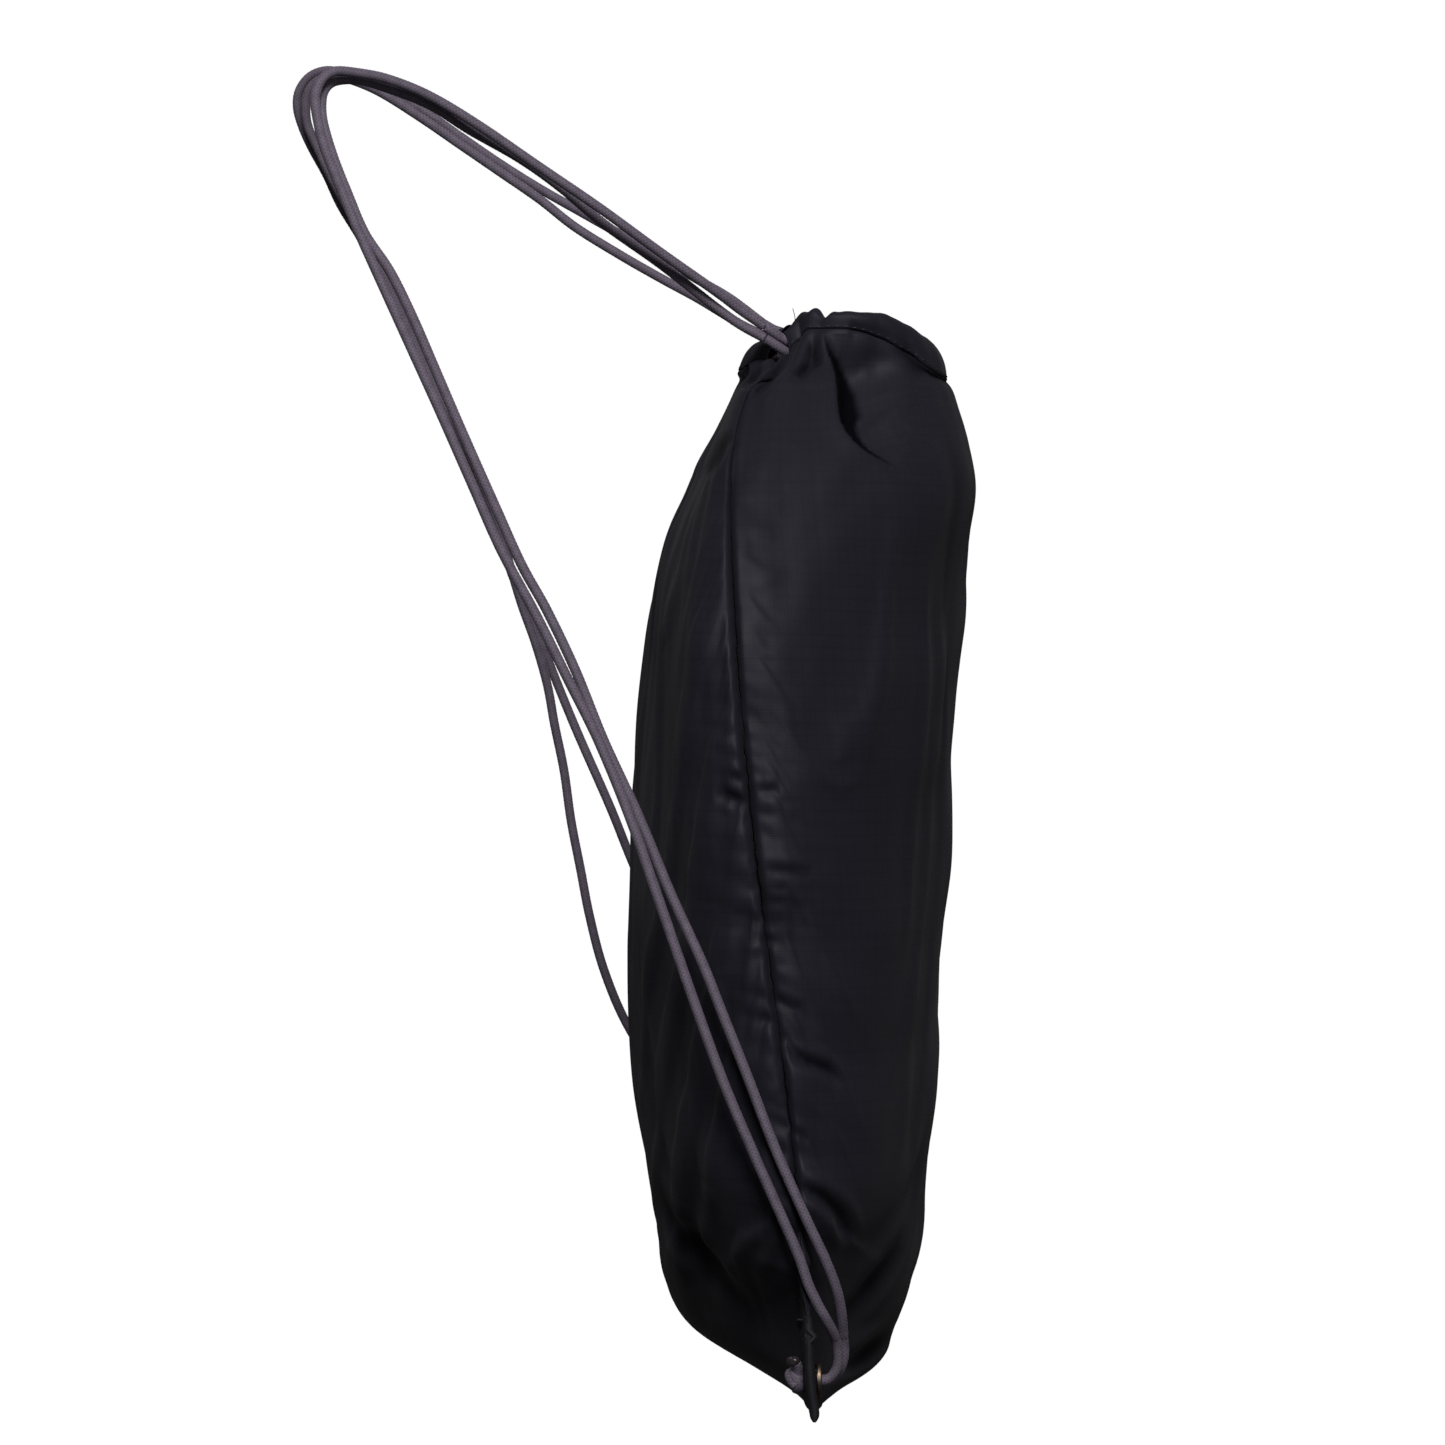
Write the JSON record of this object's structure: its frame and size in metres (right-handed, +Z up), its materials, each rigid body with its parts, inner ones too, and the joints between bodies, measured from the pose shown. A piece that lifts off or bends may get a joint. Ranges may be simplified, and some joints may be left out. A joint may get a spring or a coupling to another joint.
{
  "type": "drawstring backpack",
  "caption": "Stuffed drawstring backpack with a gathered mouth, doubled shoulder cords and eyelets in its bottom corners.",
  "frame": {"origin": "the point between the shoulders that the two cord straps hang from", "axes": "+Z up, -Y out of the front panel, +Y towards the wearer, +X across the width"},
  "size_m": [0.336, 0.2859, 0.549],
  "materials": {
    "fabric": "black woven nylon, satin",
    "thread": "black polyester sewing thread",
    "cord": "mauve-grey braided polyester cord",
    "cord_tip": "heat-sealed cord end, glossy",
    "metal": "nickel-plated brass eyelet"
  },
  "bodies": {
    "bag": {"front_panel": "fabric", "back_panel": "fabric", "front_channel": "fabric", "back_channel": "fabric", "side_seam_left": "fabric", "side_seam_right": "fabric", "bottom_seam": "fabric", "corner_tab_left": "fabric", "corner_tab_right": "fabric", "eyelet_left": "metal", "eyelet_right": "metal", "eyelet_washer_left": "metal", "eyelet_washer_right": "metal", "channel_cord_left": "cord", "channel_cord_right": "cord", "cord_tails_left": "cord", "cord_tails_right": "cord", "knot_left": "cord", "knot_right": "cord", "cord_ends_left": "cord_tip", "cord_ends_right": "cord_tip", "front_channel_stitching": "thread", "back_channel_stitching": "thread", "corner_stitching_left": "thread", "corner_stitching_right": "thread"},
    "strap_left": {"strap_cord_left_outer": "cord", "strap_cord_left_inner": "cord"},
    "strap_right": {"strap_cord_right_outer": "cord", "strap_cord_right_inner": "cord"}
  },
  "joints": [
    {"name": "strap_left_swing", "type": "hinge", "parent": "bag", "child": "strap_left", "pos_m": [-0.042, -0.18, -0.1075], "axis": [0.2768, 0.0623, 0.9589], "range_deg": [0, 80]},
    {"name": "strap_right_swing", "type": "hinge", "parent": "bag", "child": "strap_right", "pos_m": [0.042, -0.18, -0.1005], "axis": [0.2723, -0.0613, -0.9602], "range_deg": [0, 80]}
  ]
}
